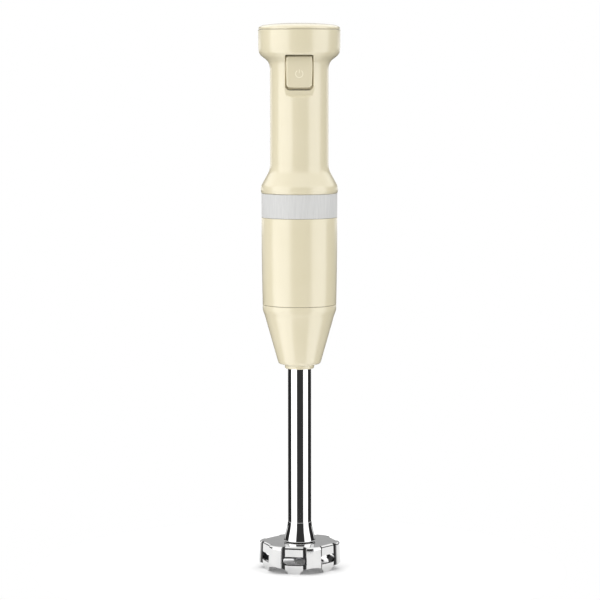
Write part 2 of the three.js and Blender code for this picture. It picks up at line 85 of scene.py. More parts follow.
def dressShader(tree, shader, look, tone, wear, relief):
    # the colour, roughness and relief of a surface, each led by a pattern from 0 to 1
    stops = [(0.3, toLinear(look["dark"])), (0.7, toLinear(look["light"]))]
    colour = addNode(tree, "ValToRGB", {"stops": stops}, {"Fac": tone})
    low, high = look.get("wearSpan", (0.3, 0.7))
    levels = {"From Min": low, "From Max": high,
              "To Min": look["roughLow"], "To Max": look["roughHigh"]}
    rough = addNode(tree, "MapRange", levels, {"Value": wear})
    depth = {"Strength": 1, "Distance": look["depth"] * mm}
    relieved = addNode(tree, "Bump", depth, {"Height": relief})
    tree.links.new(colour.outputs["Color"], shader.inputs["Base Color"])
    tree.links.new(rough.outputs["Result"], shader.inputs["Roughness"])
    tree.links.new(relieved.outputs["Normal"], shader.inputs["Normal"])


creamPlastic = {
    "light": "E0D7BB",
    "dark": "DDD4B6",
    "mottle": 30,  # mm between the faintest changes of tone
    "wear": 16,  # mm between patches that hands have rubbed a little smoother
    "wearSpan": (0, 1),
    "peel": 2.8,  # mm between the dimples of the moulded skin
    "depth": 0.0004,
    "roughLow": 0.27,
    "roughHigh": 0.29,
}


def mouldedCreamGlossAbs():
    # moulded ABS: a soft gloss under a clear skin, whose reflections have blurred edges
    coat = {"IOR": 1.54, "Coat Weight": 0.8, "Coat Roughness": 0.2, "Coat IOR": 1.5}
    made, tree, shader, place = newMaterial("moulded_cream_gloss_ABS", coat)
    s = creamPlastic
    mottle = addNode(tree, "TexNoise", {"Scale": 1 / (s["mottle"] * mm), "Detail": 2}, {"Vector": place})
    wear = addNode(tree, "TexNoise", {"Scale": 1 / (s["wear"] * mm), "Detail": 1}, {"Vector": place})
    peel = addNode(tree, "TexNoise", {"Scale": 1 / (s["peel"] * mm), "Detail": 2}, {"Vector": place})
    dressShader(tree, shader, s, mottle.outputs["Fac"], wear.outputs["Fac"], peel.outputs["Fac"])
    return made


polishedSteel = {
    "light": "DCDCDB",
    "dark": "D2D2D2",
    "cloud": 14,  # mm between changes of tone
    "haze": 9,  # mm between duller touches
    "line": 0.35,  # mm between the polishing lines, coarser than the real ones so that they show
    "depth": 0.0002,
    "roughLow": 0.035,
    "roughHigh": 0.075,
}


def polishedStainless(name, stretch):
    # polished stainless: a near mirror with faint buffing lines and a few dull touches
    made, tree, shader, place = newMaterial(name, {"Metallic": 1.0})
    s = polishedSteel
    cloud = addNode(tree, "TexNoise", {"Scale": 1 / (s["cloud"] * mm), "Detail": 4}, {"Vector": place})
    touches = {"Scale": 1 / (s["haze"] * mm), "Detail": 6, "Roughness": 0.65}
    haze = addNode(tree, "TexNoise", touches, {"Vector": place})
    drawn = addNode(tree, "Mapping", {"Scale": stretch}, {"Vector": place}).outputs["Vector"]
    lines = addNode(tree, "TexNoise", {"Scale": 1 / (s["line"] * mm), "Detail": 3}, {"Vector": drawn})
    dressShader(tree, shader, s, cloud.outputs["Fac"], haze.outputs["Fac"], lines.outputs["Fac"])
    return made


brushedSteel = {
    "light": "E7E7E6",
    "dark": "DBDBDA",
    "stroke": 0.5,  # mm between brush strokes, coarser than the real ones so that they show
    "stretch": (1, 1, 0.04),  # the strokes run up and down
    "depth": 0.002,
    "roughLow": 0.84,
    "roughHigh": 0.92,
}


def brushedStainless():
    # brushed stainless: a broad satin sheen with fine strokes along the axis
    made, tree, shader, place = newMaterial("brushed_stainless", {"Metallic": 1.0})
    s = brushedSteel
    drawn = addNode(tree, "Mapping", {"Scale": s["stretch"]}, {"Vector": place}).outputs["Vector"]
    settings = {"Scale": 1 / (s["stroke"] * mm), "Detail": 4, "Roughness": 0.6}
    strokes = addNode(tree, "TexNoise", settings, {"Vector": drawn}).outputs["Fac"]
    dressShader(tree, shader, s, strokes, strokes, strokes)
    return made


def machinedMetal(name, light, dark, roughness, turning=(1, 1, 8)):
    # turned or stamped metal: tool marks 1.2 mm apart along one way, and an uneven tone
    made, tree, shader, place = newMaterial(name, {"Metallic": 1.0})
    drawn = addNode(tree, "Mapping", {"Scale": turning}, {"Vector": place}).outputs["Vector"]
    settings = {"Scale": 1 / (1.2 * mm), "Detail": 4, "Roughness": 0.6}
    marks = addNode(tree, "TexNoise", settings, {"Vector": drawn}).outputs["Fac"]
    look = {"light": light, "dark": dark, "depth": 0.01,
            "roughLow": roughness - 0.06, "roughHigh": roughness + 0.08}
    dressShader(tree, shader, look, marks, marks, marks)
    return made


def mouldedPlastic(name, light, dark, roughness, grain=0.8, depth=0.02, ior=1.5):
    # spark-eroded mould skin: an even matte grain, a little darker and duller in its pits
    made, tree, shader, place = newMaterial(name, {"IOR": ior})
    settings = {"Scale": 1 / (grain * mm), "Detail": 3}
    skin = addNode(tree, "TexNoise", settings, {"Vector": place}).outputs["Fac"]
    look = {"light": light, "dark": dark, "depth": depth,
            "roughLow": roughness + 0.06, "roughHigh": roughness - 0.04}
    dressShader(tree, shader, look, skin, skin, skin)
    return made


def boardLaminate():
    # glass-epoxy board under green lacquer: the weave of the glass shows as small squares
    coat = {"IOR": 1.5, "Coat Weight": 0.5, "Coat Roughness": 0.2}
    made, tree, shader, place = newMaterial("lacquered_glass_epoxy", coat)
    thread = 1 / (0.8 * mm)
    cloth = addNode(tree, "TexNoise", {"Scale": thread, "Detail": 2}, {"Vector": place}).outputs["Fac"]
    settings = {"Scale": thread, "Color1": (0, 0, 0, 1), "Color2": (1, 1, 1, 1)}
    weave = addNode(tree, "TexChecker", settings, {"Vector": place}).outputs["Fac"]
    look = {"light": "2F6B3D", "dark": "2A6237", "depth": 0.01, "roughLow": 0.35, "roughHigh": 0.5}
    dressShader(tree, shader, look, weave, cloth, cloth)
    return made


def stagePaper(name, brightness, colour):
    # matt paper that glows a little, so that its shadows stay pale
    settings = {"Base Color": toLinear(colour), "Roughness": 0.9, "Specular IOR Level": 0.1,
                "Emission Color": (1, 1, 1, 1), "Emission Strength": brightness}
    return newMaterial(name, settings)[0]


finishes = {
    "cream_plastic": mouldedCreamGlossAbs(),
    # its polishing lines run round the tube
    "polished_steel": polishedStainless("polished_stainless_tube", (0.02, 0.02, 1)),
    "brushed_steel": brushedStainless(),
    # a grey sheen with rings from the lathe
    "plain_steel": machinedMetal("turned_plain_steel", "B4B4B4", "9C9C9D", 0.38),
    # nearly black, with a soft highlight
    "dark_plastic": mouldedPlastic("moulded_black_nylon", "2E2E30", "242426", 0.5),
    # mid grey, a little glossier than the nylon
    "grey_plastic": mouldedPlastic("moulded_grey_ABS", "929497", "86888B", 0.45),
    # warm white and waxy
    "white_nylon": mouldedPlastic("moulded_natural_acetal", "EBE9E2", "E0DDD3", 0.42),
    # black and dull, with a fine tooth
    "black_rubber": mouldedPlastic("moulded_black_rubber", "222223", "18181A", 0.72, 0.5, 0.03),
    # brown gold and porous, with no direction
    "bronze": machinedMetal("sintered_bronze", "B08448", "8F6834", 0.42, (3, 3, 3)),
    # orange brown, with the turns of the wire
    "copper": machinedMetal("enamelled_copper", "C26B36", "9A4D22", 0.34, (1, 1, 12)),
    # pale blue grey, with lines from the die
    "aluminium": machinedMetal("extruded_aluminium", "C4C7CA", "AEB1B5", 0.36, (6, 1, 1)),
    # charcoal grey and chalky
    "ferrite": mouldedPlastic("sintered_ferrite", "42403F", "2F2E2D", 0.75, 0.6, 0.04, 1.8),
    "board_laminate": boardLaminate(),
    # smooth wire sleeves with a soft gloss
    "red_wire": mouldedPlastic("extruded_red_PVC", "AB2A2E", "962125", 0.4, 2.0, 0.005),
    "blue_sleeve": mouldedPlastic("extruded_blue_PVC", "30539A", "274683", 0.4, 2.0, 0.005),
}
# burnt by a laser: paler and flatter than the skin round it
markedPlastic = mouldedPlastic("laser_marked_ABS", "F8F2DE", "F4EDD6", 0.5, 0.3, 0.004)
# ground on a belt: grey, with short scratches
groundSteel = machinedMetal("ground_stainless", "8E8E90", "77777A", 0.3, (4, 4, 1))

pressedSteel = {
    # painted shade: the dark colour that each groove is painted
    "groove": "363636",
    "grooveRough": 0.38,
    # painted shade: the inside's dark colour stands in for the shadow inside the bell
    "insideShadeLight": "4A4A4B",
    "insideShadeDark": "38383A",
}


def pressedStainless():
    # pressed and polished stainless, with painted shade: each groove is painted dark, standing in for the
    # dark studio that it reflects, and is made duller
    made = polishedStainless("polished_stainless_pressed", (0.6, 0.6, 1))
    tree = made.node_tree
    shader = tree.nodes["Principled BSDF"]
    groove = addNode(tree, "Attribute", {"attribute_name": "groove"}).outputs["Fac"]
    bright = shader.inputs["Base Color"].links[0].from_socket
    # a Mix node mixes numbers from its inputs 2 and 3, and colours from its inputs 6 and 7
    # each groove is painted dark from its mask: painted shade
    grooveShadeColour = {"data_type": "RGBA", 7: toLinear(pressedSteel["groove"])}
    grooveShaded = addNode(tree, "Mix", grooveShadeColour, {"Factor": groove, 6: bright})
    smooth = shader.inputs["Roughness"].links[0].from_socket
    dulled = addNode(tree, "Mix", {3: pressedSteel["grooveRough"]}, {"Factor": groove, 2: smooth})
    tree.links.new(grooveShaded.outputs[2], shader.inputs["Base Color"])
    tree.links.new(dulled.outputs[0], shader.inputs["Roughness"])
    return made


bellSteel = pressedStainless()
# unpolished, as it came from the press, so dull; its dark colour is painted shade, standing in for the
# shadow inside the bell
bellInsideShaded = machinedMetal("unpolished_stainless_painted_shade", pressedSteel["insideShadeLight"],
                           pressedSteel["insideShadeDark"], 0.42, (1, 1, 1))
for subpart in frame["record"]["subparts"]:
    cadPiece = frame["nodes"][subpart["node"]]
    cadPiece.data.materials.clear()
    cadPiece.data.materials.append(finishes[subpart["material_slot"]])
print("finishes made:", len(finishes))


def finishPiece(name, bm, body, slot, replaced=(), sharpAngle=35, material=None):
    # hands a bmesh over as a finished object with smooth faces and sharp edges over sharpAngle
    for face in bm.faces:
        face.smooth = True
    for edge in bm.edges:
        if len(edge.link_faces) == 2:
            edge.smooth = edge.calc_face_angle(0) < math.radians(sharpAngle)
    mesh = bpy.data.meshes.new(name)
    bm.to_mesh(mesh)
    bm.free()
    piece = bpy.data.objects.new(name, mesh)
    bpy.context.scene.collection.objects.link(piece)
    piece.data.materials.append(material or finishes[slot])
    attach(piece, body)
    if replaced:
        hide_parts(*replaced)
    return piece


def roundedWire(profile):
    # a profile of (radius, height) or (radius, height, rounding) points as wire, corners rounded
    bm = bmesh.new()
    corners = [bm.verts.new((p[0] * mm, 0, p[1] * mm)) for p in profile]
    for a, b in zip(corners, corners[1:]):
        bm.edges.new((a, b))
    if profile[0][0] > 0 and profile[-1][0] > 0:
        bm.edges.new((corners[-1], corners[0]))
    for corner, point in zip(corners, profile):
        if len(point) > 2:
            bmesh.ops.bevel(bm, geom=[corner], offset=point[2] * mm, segments=5, profile=0.5,
                            affect="VERTICES", material=-1)
    return bm


def spun(profile, sides):
    bm = roundedWire(profile)
    bmesh.ops.spin(bm, geom=bm.verts[:] + bm.edges[:], cent=(0, 0, 0), axis=(0, 0, 1),
                   angle=fullTurn, steps=sides, use_merge=True)
    bmesh.ops.remove_doubles(bm, verts=bm.verts, dist=weld)
    bmesh.ops.recalc_face_normals(bm, faces=bm.faces)
    return bm


def slab(outline, low, high, axis="Z"):
    # an outline of points raised between two levels along X or Z
    bm = bmesh.new()
    if axis == "X":
        corners = [bm.verts.new((low * mm, a * mm, b * mm)) for a, b in outline]
        way = (1, 0, 0)
    else:
        corners = [bm.verts.new((a * mm, b * mm, low * mm)) for a, b in outline]
        way = (0, 0, 1)
    face = bm.faces.new(corners)
    raisedPart = bmesh.ops.extrude_face_region(bm, geom=[face])["geom"]
    moved = [g for g in raisedPart if isinstance(g, bmesh.types.BMVert)]
    bmesh.ops.translate(bm, verts=moved, vec=Vector(way) * (high - low) * mm)
    bmesh.ops.recalc_face_normals(bm, faces=bm.faces)
    return bm


def bevelAll(bm, width, segments=3, overAngle=30):
    edges = [e for e in bm.edges if e.calc_face_angle(0) > math.radians(overAngle)]
    bmesh.ops.bevel(bm, geom=edges, offset=width * mm, segments=segments, profile=0.5,
                    affect="EDGES", material=-1)


def addInto(bm, other):
    # the other shape becomes a part of bm
    mesh = bpy.data.meshes.new("joined")
    other.to_mesh(mesh)
    other.free()
    bm.from_mesh(mesh)
    bpy.data.meshes.remove(mesh)


def cutRows(bm, levels):
    upward = Vector((0, 0, 1))
    for level in levels:
        bmesh.ops.bisect_plane(bm, geom=bm.verts[:] + bm.edges[:] + bm.faces[:], dist=0.001 * mm,
                               plane_co=upward * level * mm, plane_no=upward)


def steps(low, high, step):
    # evenly spaced values from low to high, about a step apart
    count = max(1, round((high - low) / step))
    return [low + (high - low) * i / count for i in range(count + 1)]


def cutHoles(piece, cutters):
    # takes the cutters out of a piece and keeps the result as its mesh
    for cutter in cutters:
        mesh = bpy.data.meshes.new("cutter")
        cutter.to_mesh(mesh)
        cutter.free()
        tool = bpy.data.objects.new("cutter", mesh)
        bpy.context.scene.collection.objects.link(tool)
        modifier = piece.modifiers.new("hole", "BOOLEAN")
        modifier.operation = "DIFFERENCE"
        modifier.solver = "EXACT"
        modifier.object = tool
    depsgraph = bpy.context.evaluated_depsgraph_get()
    cutMesh = bpy.data.meshes.new_from_object(piece.evaluated_get(depsgraph))
    for modifier in list(piece.modifiers):
        tool = modifier.object if modifier.type == "BOOLEAN" else None
        piece.modifiers.remove(modifier)
        if tool:
            bpy.data.objects.remove(tool)
    oldMesh = piece.data
    piece.data = cutMesh
    bpy.data.meshes.remove(oldMesh)


def ventSlots(vents):
    # one cutter with round ends for each angle round the axis
    half = vents["width"] / 2
    outline = [(-half, -vents["outside"]), (half, -vents["outside"]),
               (half, -vents["inside"]), (-half, -vents["inside"])]
    cutters = []
    for azimuth in vents["angles"]:
        slot = slab(outline, vents["low"], vents["high"])
        bevelAll(slot, half - 0.05, 4, 60)
        turn = Matrix.Rotation(math.radians(azimuth), 3, "Z")
        bmesh.ops.rotate(slot, verts=slot.verts, cent=(0, 0, 0), matrix=turn)
        cutters.append(slot)
    return cutters


def addWallAndRims(piece, wall, rim, segments=3, angle=42):
    solid = piece.modifiers.new("wall", "SOLIDIFY")
    solid.thickness = wall * mm
    solid.offset = -1
    solid.use_even_offset = True
    soft = piece.modifiers.new("rims", "BEVEL")
    soft.width = rim * mm
    soft.segments = segments
    soft.limit_method = "ANGLE"
    soft.angle_limit = math.radians(angle)
    soft.profile = 0.5


view = {
    "lens": 150,
    "distance": 1878.5,
    "down": 5.3,  # degrees that the camera looks down
    "aimHeight": 203.9,
    "aimSide": 0.55,
    "roll": 0.05,
}


def makeCamera():
    data = bpy.data.cameras.new("camera")
    data.lens = view["lens"]
    data.clip_start = 0.05
    camera = bpy.data.objects.new("camera", data)
    bpy.context.scene.collection.objects.link(camera)
    down = math.radians(view["down"])
    away = view["distance"] * mm
    aim = Vector((view["aimSide"] * mm, 0, view["aimHeight"] * mm))
    camera.location = aim + Vector((0, -math.cos(down), math.sin(down))) * away
    camera.rotation_euler = (math.pi / 2 - down, math.radians(view["roll"]), 0)
    bpy.context.scene.camera = camera


makeCamera()


# the points of a turned profile: distance from the axis, height, and the rounding of the corner
topCap = {
    "profile": [(0, 408.6), (20, 408.3), (26, 407), (26, 403.6), (27.8, 403.6), (27.8, 406.05),
                (30.35, 406.05, 0.4), (30.4, 407.7, 0.9), (27.6, 409.25, 1.6), (20.6, 410.08, 2),
                (12, 410.7, 2), (0, 410.98)],
    "sides": 160,
}


def makeTopCap():
    bm = spun(topCap["profile"], topCap["sides"])
    return finishPiece("top_cap_crowned", bm, "motor_body", "cream_plastic", ["top_cap"])


trimBand = {
    "profile": [(27.6, 266.35), (28.38, 266.35, 0.2), (28.38, 284.2, 0.25), (27.6, 284.2)],
    "sides": 160,
}


def makeTrimBand():
    bm = spun(trimBand["profile"], trimBand["sides"])
    return finishPiece("trim_band_satin", bm, "motor_body", "brushed_steel", ["trim_band"])


motorSleeve = {
    "profile": [(25.9, 200.85), (27.6, 200.85, 0.25), (27.85, 214), (28.1, 228), (28.3, 242),
                (28.38, 254), (28.38, 266.15, 0.2), (25.9, 266.15)],
    "sides": 160,
}
fanVents = {
    "angles": range(132, 229, 16),  # degrees from the front
    "width": 2,
    "inside": 20,  # from the axis
    "outside": 35,
    "low": 207,
    "high": 216,
}


def makeMotorSleeve():
    bm = spun(motorSleeve["profile"], motorSleeve["sides"])
    piece = finishPiece("motor_sleeve_moulded", bm, "motor_body", "cream_plastic", ["motor_sleeve"])
    cutHoles(piece, ventSlots(fanVents))
    return piece


armCollar = {
    "profile": [(8.8, 152.35), (10.9, 152.35, 0.9), (11.1, 155, 0.5), (15.6, 156.2, 0.8),
                (16.25, 157.9, 0.5), (26.15, 192.9, 0.8), (27.1, 195.2, 0.5), (27.6, 197.2, 0.3),
                (27.6, 200.6, 0.25), (25.7, 200.6), (25.7, 195.6), (23.6, 191.4), (14.4, 158.9),
                (8.8, 157.7)],
    "sides": 160,
}


def makeArmCollar():
    bm = spun(armCollar["profile"], armCollar["sides"])
    return finishPiece("arm_collar_moulded", bm, "blending_arm", "cream_plastic", ["arm_collar"])


armTube = {
    "profile": [(7.6, 21.1), (8.7, 21.1), (8.7, 175.9, 0.3), (7.6, 175.9)],
    "sides": 128,
}


def makeArmTube():
    bm = spun(armTube["profile"], armTube["sides"])
    return finishPiece("arm_tube_polished", bm, "blending_arm", "polished_steel", ["arm_tube"])


neckFerrule = {
    "profile": [(8.75, 21.05), (11.5, 21.05, 0.3), (11.93, 21.7, 0.4), (11.55, 23.6, 0.6),
                (10.75, 27, 1.4), (9.75, 30.4, 1.4), (9.15, 33.4, 0.8), (9.03, 35.75, 0.25),
                (8.75, 35.75)],
    "sides": 128,
}


def makeNeckFerrule():
    bm = spun(neckFerrule["profile"], neckFerrule["sides"])
    return finishPiece("neck_ferrule_polished", bm, "blending_arm", "polished_steel", ["neck_ferrule"])


makeTopCap()
makeTrimBand()
makeMotorSleeve()
makeArmCollar()
makeArmTube()
makeNeckFerrule()
print("turned pieces made")


shell = {
    "profile": [(27.15, 268), (27.15, 284.5), (28.5, 284.5, 0.4), (28.98, 287, 0.8), (28.6, 289.9, 1.3),
                (22.8, 300.4, 1.6), (21.9, 304.6, 1.6), (21.9, 378.2, 1.8), (22.9, 381.7, 1.1),
                (24.6, 383.6, 0.8), (28.4, 386.5, 0.9), (30.15, 388.9, 1.0), (30.65, 392.5, 1.2),
                (30.65, 405.65, 0.35)],
    "wall": 2.2,
    "rim": 0.6,
    "columns": 120,
    "halfGap": 0.15,  # half of the parting line
}


def shellHalf(hole, mirrored):
    # one half of the case, turned through 180 degrees, with columns that run along the hole's sides
    # the ends on the axis only keep the wire open, and go again
    wire = roundedWire([(0, 250)] + shell["profile"] + [(0, 420)])
    ends = [v for v in wire.verts if v.co.x < 0.001 * mm]
    bmesh.ops.delete(wire, geom=ends, context="VERTS")
    heights = sorted((v.co.z, v.co.x) for v in wire.verts)

    def radiusAt(z):
        for (z0, r0), (z1, r1) in zip(heights, heights[1:]):
            if z0 <= z <= z1 and z1 > z0:
                return r0 + (r1 - r0) * (z - z0) / (z1 - z0)
        return heights[-1][1]

    halfTurn = Matrix.Rotation(math.pi, 3, "Z")
    bmesh.ops.rotate(wire, verts=wire.verts, cent=(0, 0, 0), matrix=halfTurn)
    bmesh.ops.spin(wire, geom=wire.verts[:] + wire.edges[:], cent=(0, 0, 0), axis=(0, 0, 1),
                   angle=math.pi, steps=shell["columns"])
    bmesh.ops.remove_doubles(wire, verts=wire.verts, dist=weld)
    # rows of vertices, close together at the hole's corners and below it
    low, high = hole["low"], hole["high"]
    straightLow, straightHigh = low + hole["lowCorner"] + 0.5, high - hole["highCorner"] - 0.5
    rows = steps(low - 6, low, 0.6) + steps(low, straightLow, 0.5)
    rows += steps(straightLow, straightHigh, 2.5)
    rows += steps(straightHigh, high, 0.5) + steps(high, high + 2.4, 0.6)
    cutRows(wire, sorted(set(round(z, 3) for z in rows)))

    # the columns shift a little round the axis, so that one runs along each side of the hole
    columnAngle = math.pi / shell["columns"]
    halfWidth = hole["halfWidth"] * mm
    edgeColumn = round(math.asin(halfWidth / radiusAt(low * mm)) / columnAngle) * columnAngle
    for vert in wire.verts:
        radius = math.hypot(vert.co.x, vert.co.y)
        angle = math.atan2(vert.co.x, -vert.co.y)
        holeAngle = math.asin(halfWidth / radius)
        size = abs(angle)
        if size <= edgeColumn + 1e-6:
            size *= holeAngle / edgeColumn
        else:
            part = (size - edgeColumn) / (math.pi / 2 - edgeColumn)
            size = holeAngle + part * (math.pi / 2 - holeAngle)
        vert.co.x = radius * math.sin(math.copysign(size, angle))
        vert.co.y = -radius * math.cos(size)

    inHole = []
    for face in wire.faces:
        middle = face.calc_center_median()
        if abs(middle.x) < halfWidth and low * mm < middle.z < high * mm:
            inHole.append(face)
    bmesh.ops.delete(wire, geom=inHole, context="FACES")
    roundHole(wire, hole, radiusAt)
    if "ramp" in hole:
        carveRamp(wire, hole)
    for vert in wire.verts:
        vert.co.y = min(vert.co.y, -shell["halfGap"] * mm)
    if mirrored:
        bmesh.ops.rotate(wire, verts=wire.verts, cent=(0, 0, 0), matrix=halfTurn)
    bmesh.ops.recalc_face_normals(wire, faces=wire.faces)
    outward = sum(f.normal.dot(Vector((f.calc_center_median().x, f.calc_center_median().y, 0)))
                  for f in wire.faces)
    if outward < 0:
        bmesh.ops.reverse_faces(wire, faces=wire.faces)
    return wire


def roundHole(bm, hole, radiusAt):
    # the hole's boundary vertices near a corner go onto the corner's arc
    for vert in bm.verts:
        if not any(e.is_boundary for e in vert.link_edges):
            continue
        x, z = vert.co.x / mm, vert.co.z / mm
        if abs(x) > hole["halfWidth"] + 0.01 or z < hole["low"] - 0.01 or z > hole["high"] + 0.01:
            continue
        ends = ((hole["lowCorner"], hole["low"], 1), (hole["highCorner"], hole["high"], -1))
        for corner, level, side in ends:
            middleX = hole["halfWidth"] - corner
            middleZ = level + side * corner
            if abs(x) > middleX and side * (middleZ - z) > 0:
                away = Vector((abs(x) - middleX, z - middleZ)).normalized() * corner
                vert.co.x = math.copysign((middleX + away.x) * mm, x)
                vert.co.z = (middleZ + away.y) * mm
                vert.co.y = -math.sqrt(radiusAt(vert.co.z) ** 2 - vert.co.x ** 2)


def carveRamp(bm, hole):
    # a flat step cut into the round handle leads down from the hole's lower edge
    for vert in bm.verts:
        z = vert.co.z / mm
        if abs(vert.co.x) > hole["rampHalf"] * mm or z > hole["low"] + hole["lowCorner"]:
            continue
        for (z1, depth1), (z0, depth0) in zip(hole["ramp"], hole["ramp"][1:]):
            if z0 <= z:
                depth = depth0 + (depth1 - depth0) * min(1, (z - z0) / (z1 - z0))
                vert.co.y = max(vert.co.y, -depth * mm)
                break


buttonHole = {
    "halfWidth": 10.6,
    "low": 361,
    "high": 387.2,
    "lowCorner": 3.8,  # rounding
    "highCorner": 1.4,
    "ramp": [(361, 19), (357.4, 19.6), (355.4, 22.4)],  # height, and distance from the axis
    "rampHalf": 12,
}


def makeFrontShell():
    bm = shellHalf(buttonHole, False)
    piece = finishPiece("handle_front_moulded", bm, "motor_body", "cream_plastic", ["handle_front_shell"])
    addWallAndRims(piece, shell["wall"], shell["rim"])
    return piece


def rodCutter(radius, x, z, start, end=40):
    bm = bmesh.new()
    bmesh.ops.create_cone(bm, cap_ends=True, segments=40, radius1=radius * mm, radius2=radius * mm,
                          depth=(end - start) * mm)
    onItsSide = Matrix.Rotation(math.pi / 2, 3, "X")
    bmesh.ops.rotate(bm, verts=bm.verts, cent=(0, 0, 0), matrix=onItsSide)
    bmesh.ops.translate(bm, verts=bm.verts, vec=(x * mm, (start + end) / 2 * mm, z * mm))
    return bm


triggerHole = {
    "halfWidth": 9.6,
    "low": 301.3,
    "high": 359.1,
    "lowCorner": 3.2,
    "highCorner": 3.2,
}
# the cord inlet and the two screws: radius, place across, height, where the hole starts
rearHoles = [(5.75, 0, 396.4, 20), (3.4, -22.5, 395, 14), (3.4, 22.5, 395, 14)]
flareVents = {
    "angles": [*range(126, 163, 12), *range(198, 235, 12)],  # none behind the trigger
    "width": 2,
    "inside": 18,
    "outside": 36,
    "low": 291.3,
    "high": 297.7,
}


def makeRearShell():
    bm = shellHalf(triggerHole, True)
    piece = finishPiece("handle_rear_moulded", bm, "motor_body", "cream_plastic", ["handle_rear_shell"])
    addWallAndRims(piece, shell["wall"], shell["rim"])
    cutHoles(piece, [rodCutter(*rearHole) for rearHole in rearHoles] + ventSlots(flareVents))
    return piece


makeFrontShell()
makeRearShell()
print("handle shells made")


button = {
    "halfWidth": 9.5,
    "low": 363,
    "high": 386.2,
    "lowCorner": 3.0,
    "highCorner": 0.9,
    "edge": 0.8,  # rounding
    "faceLow": 19.9,  # from the axis to the flat face at its lower and upper end
    "faceHigh": 24,
    "back": 17.2,
    "skirt": 3.2,  # behind the face
    "skirtWall": 1,
    "skirtEnd": 361.6,
    "skirtGap": 0.15,
}


def buttonFace(z):
    # where the tilted face is at a height
    s = button
    return -s["faceLow"] - (s["faceHigh"] - s["faceLow"]) * (z - s["low"]) / (s["high"] - s["low"])


def makeLockButton():
    s = button
    w = s["halfWidth"]
    bm = bmesh.new()
    corners = [bm.verts.new((x * mm, -s["back"] * mm, z * mm))
               for x, z in ((-w, s["low"]), (w, s["low"]), (w, s["high"]), (-w, s["high"]))]
    bm.faces.new(corners)
    for pair, size in ((corners[:2], s["lowCorner"]), (corners[2:], s["highCorner"])):
        bmesh.ops.bevel(bm, geom=pair, offset=size * mm, segments=8, profile=0.5, affect="VERTICES",
                        material=-1)
    grown = bmesh.ops.extrude_face_region(bm, geom=bm.faces[:])["geom"]
    for vert in [g for g in grown if isinstance(g, bmesh.types.BMVert)]:
        vert.co.y = buttonFace(vert.co.z / mm) * mm
    bmesh.ops.recalc_face_normals(bm, faces=bm.faces)
    rim = [e for e in bm.edges if e.calc_face_angle(0) > math.radians(50)
           and max(v.co.y for v in e.verts) < -(s["back"] + 1) * mm]
    bmesh.ops.bevel(bm, geom=rim, offset=s["edge"] * mm, segments=4, profile=0.5, affect="EDGES",
                    material=-1)
    low, high = s["skirtEnd"], buttonHole["high"] - s["skirtGap"]
    side = buttonHole["halfWidth"] - s["skirtGap"]
    lowY, highY = buttonFace(low) + s["skirt"], buttonFace(high) + s["skirt"]
    wall = s["skirtWall"]
    outline = [(lowY, low), (highY, high), (highY + wall, high), (lowY + wall, low)]
    addInto(bm, slab(outline, -side, side, "X"))
    return finishPiece("lock_button_moulded", bm, "lock_button", "cream_plastic", ["lock_button"])


sign = {
    "radius": 2.7,
    "line": 0.5,
    "height": 373.2,
    "gap": 62,  # degrees
    "proud": 0.08,
    "barLow": 0.5,  # above the ring's middle
    "barHigh": 3.2,
}


def makePowerSign():
    # a broken ring with a bar in its gap
    s = sign
    y = buttonFace(s["height"]) - s["proud"]
    bm = bmesh.new()
    gap = math.radians(s["gap"])
    half = s["line"] / 2
    inner, outer = s["radius"] - half, s["radius"] + half
    start = bm.edges.new([bm.verts.new((r * mm, y * mm, 0)) for r in (inner, outer)])
    toGap = Matrix.Rotation(gap / 2 - math.pi / 2, 3, "Y")
    bmesh.ops.rotate(bm, verts=bm.verts, cent=(0, 0, 0), matrix=toGap)
    bmesh.ops.spin(bm, geom=list(start.verts) + [start], cent=(0, 0, 0), axis=(0, 1, 0),
                   angle=fullTurn - gap, steps=40)
    barOutline = ((-half, s["barLow"]), (half, s["barLow"]), (half, s["barHigh"]), (-half, s["barHigh"]))
    bm.faces.new([bm.verts.new((x * mm, y * mm, z * mm)) for x, z in barOutline])
    bmesh.ops.translate(bm, verts=bm.verts, vec=(0, 0, s["height"] * mm))
    bmesh.ops.remove_doubles(bm, verts=bm.verts, dist=weld)
    thick = bmesh.ops.extrude_face_region(bm, geom=bm.faces[:])["geom"]
    bmesh.ops.translate(bm, verts=[g for g in thick if isinstance(g, bmesh.types.BMVert)],
                        vec=(0, s["proud"] * 2 * mm, 0))
    for vert in bm.verts:
        vert.co.y += (buttonFace(vert.co.z / mm) - buttonFace(s["height"])) * mm
    bmesh.ops.recalc_face_normals(bm, faces=bm.faces)
    return finishPiece("power_sign", bm, "lock_button", "cream_plastic", material=markedPlastic)


makeLockButton()
makePowerSign()


trigger = {
    "outline": [(22, 357.4), (23.4, 350), (24.7, 340), (25.3, 328), (25.35, 318), (24.4, 307),
                (22.9, 302.8), (18.8, 302.8), (18.3, 354), (16.6, 357.4)],
    "halfWidth": 8.5,
    "edge": 1.3,  # rounding
    "arm": [(19, 351), (20, 356.5), (16.6, 360.5), (11.4, 361), (11.4, 359)],
    "armHalf": 4,
}


def makeSpeedTrigger():
    s = trigger
    bm = slab(s["outline"], -s["halfWidth"], s["halfWidth"], "X")
    bevelAll(bm, s["edge"], 5, 40)
    addInto(bm, slab(s["arm"], -s["armHalf"], s["armHalf"], "X"))
    return finishPiece("speed_trigger_moulded", bm, "speed_trigger", "cream_plastic", ["speed_trigger"])


makeSpeedTrigger()
print("controls made")


